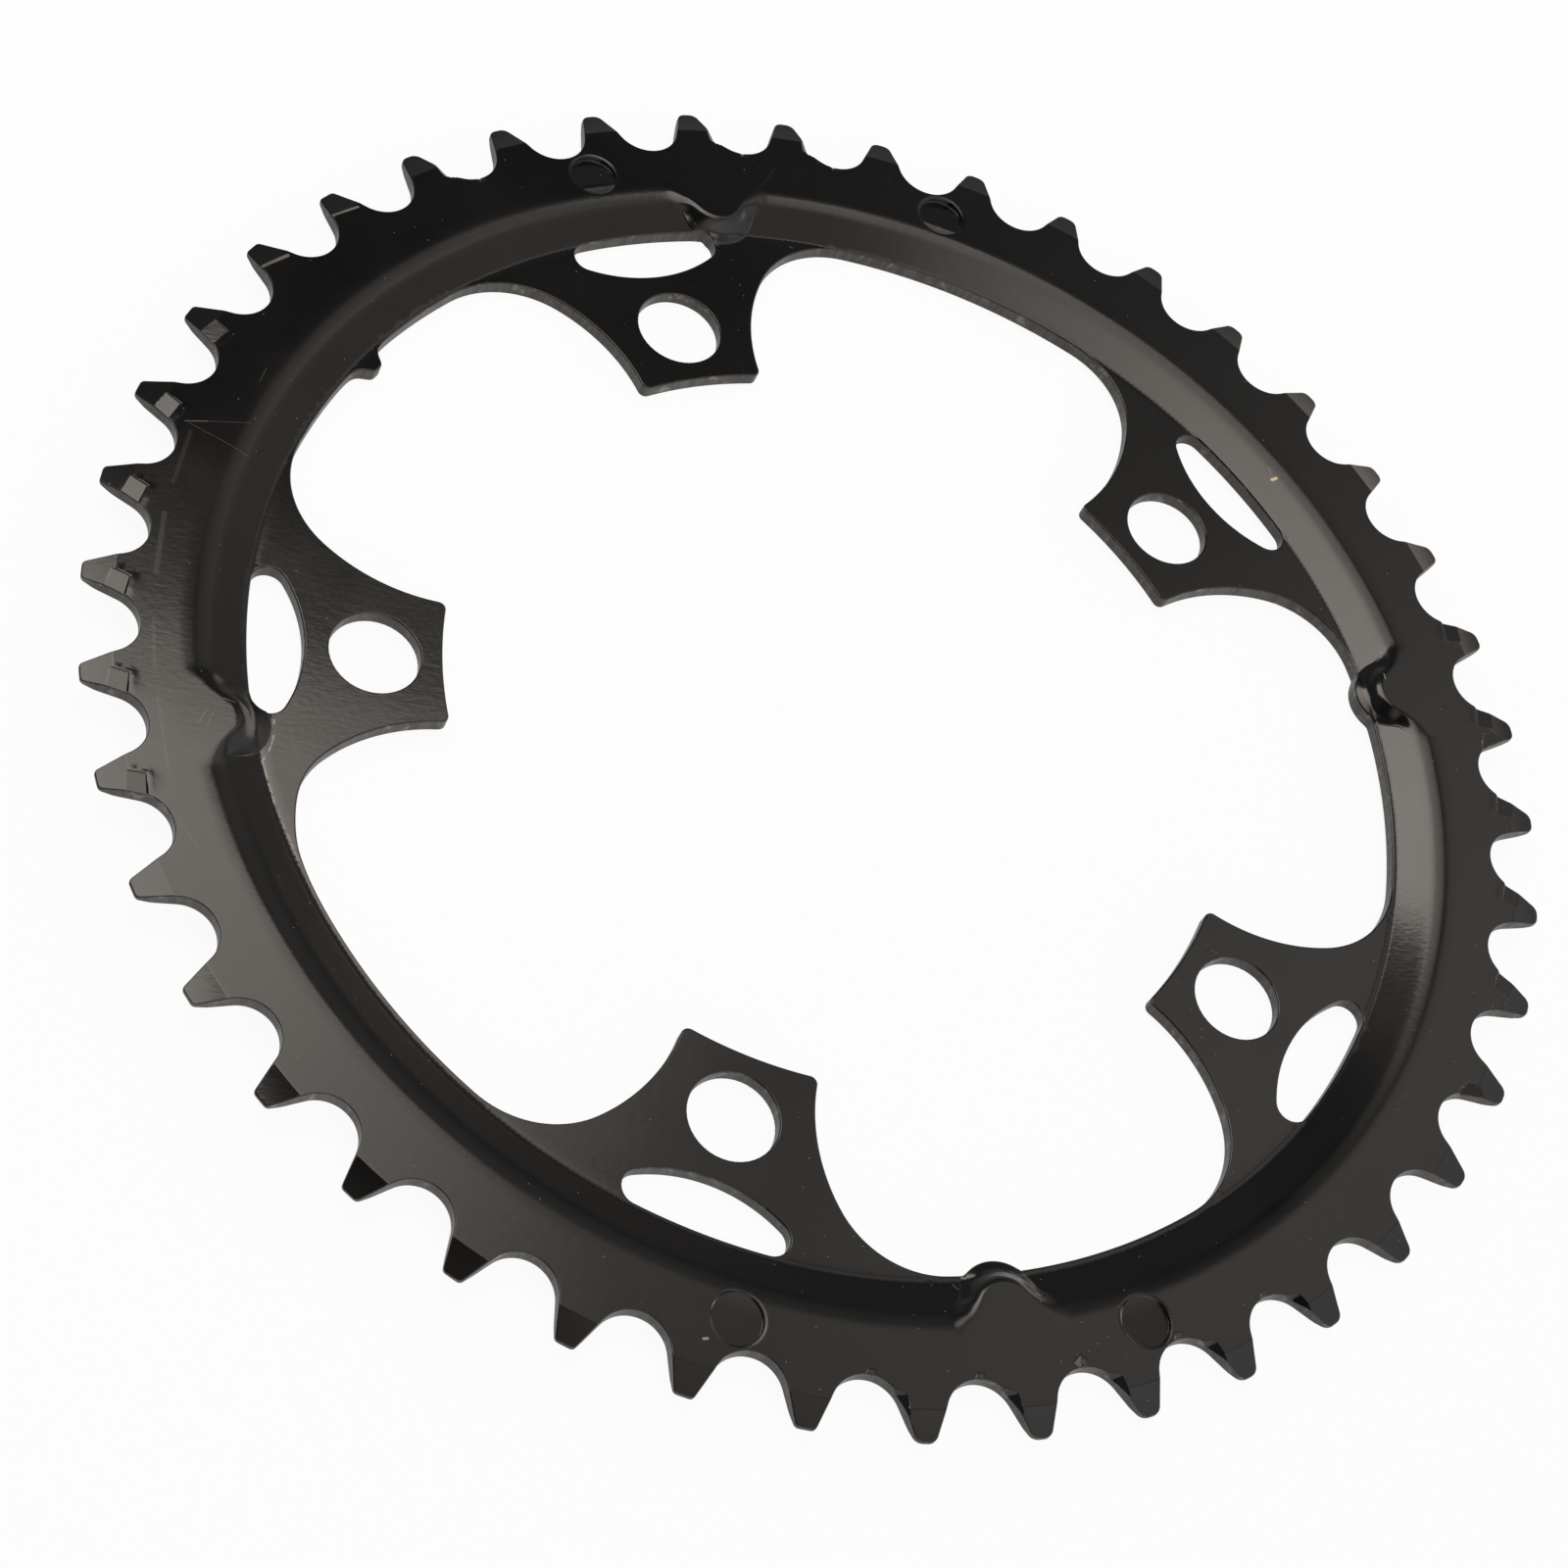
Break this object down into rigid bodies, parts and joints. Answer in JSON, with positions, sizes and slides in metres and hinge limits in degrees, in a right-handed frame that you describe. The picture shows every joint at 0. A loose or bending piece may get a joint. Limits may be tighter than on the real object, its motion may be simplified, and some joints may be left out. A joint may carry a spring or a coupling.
{
  "type": "bicycle chainring",
  "caption": "Toothed steel ring for a bicycle crank, stamped and dished from one black-coated sheet, with inward bolt tabs, lens slots, pressed tongues and bevelled, partly coined teeth.",
  "frame": {"origin": "centre of the bolt circle, on the plane of the tabs' back faces", "axes": "+Z along the ring's axis, towards the face with the pressed tongues in the picture; +Y from the centre through the small locating nub"},
  "size_m": [0.1744, 0.1746, 0.0035],
  "materials": {
    "chainring": "semi-gloss black coating, lightly dusty and scratched"
  },
  "bodies": {
    "root": {"chainring": "chainring"}
  },
  "joints": []
}
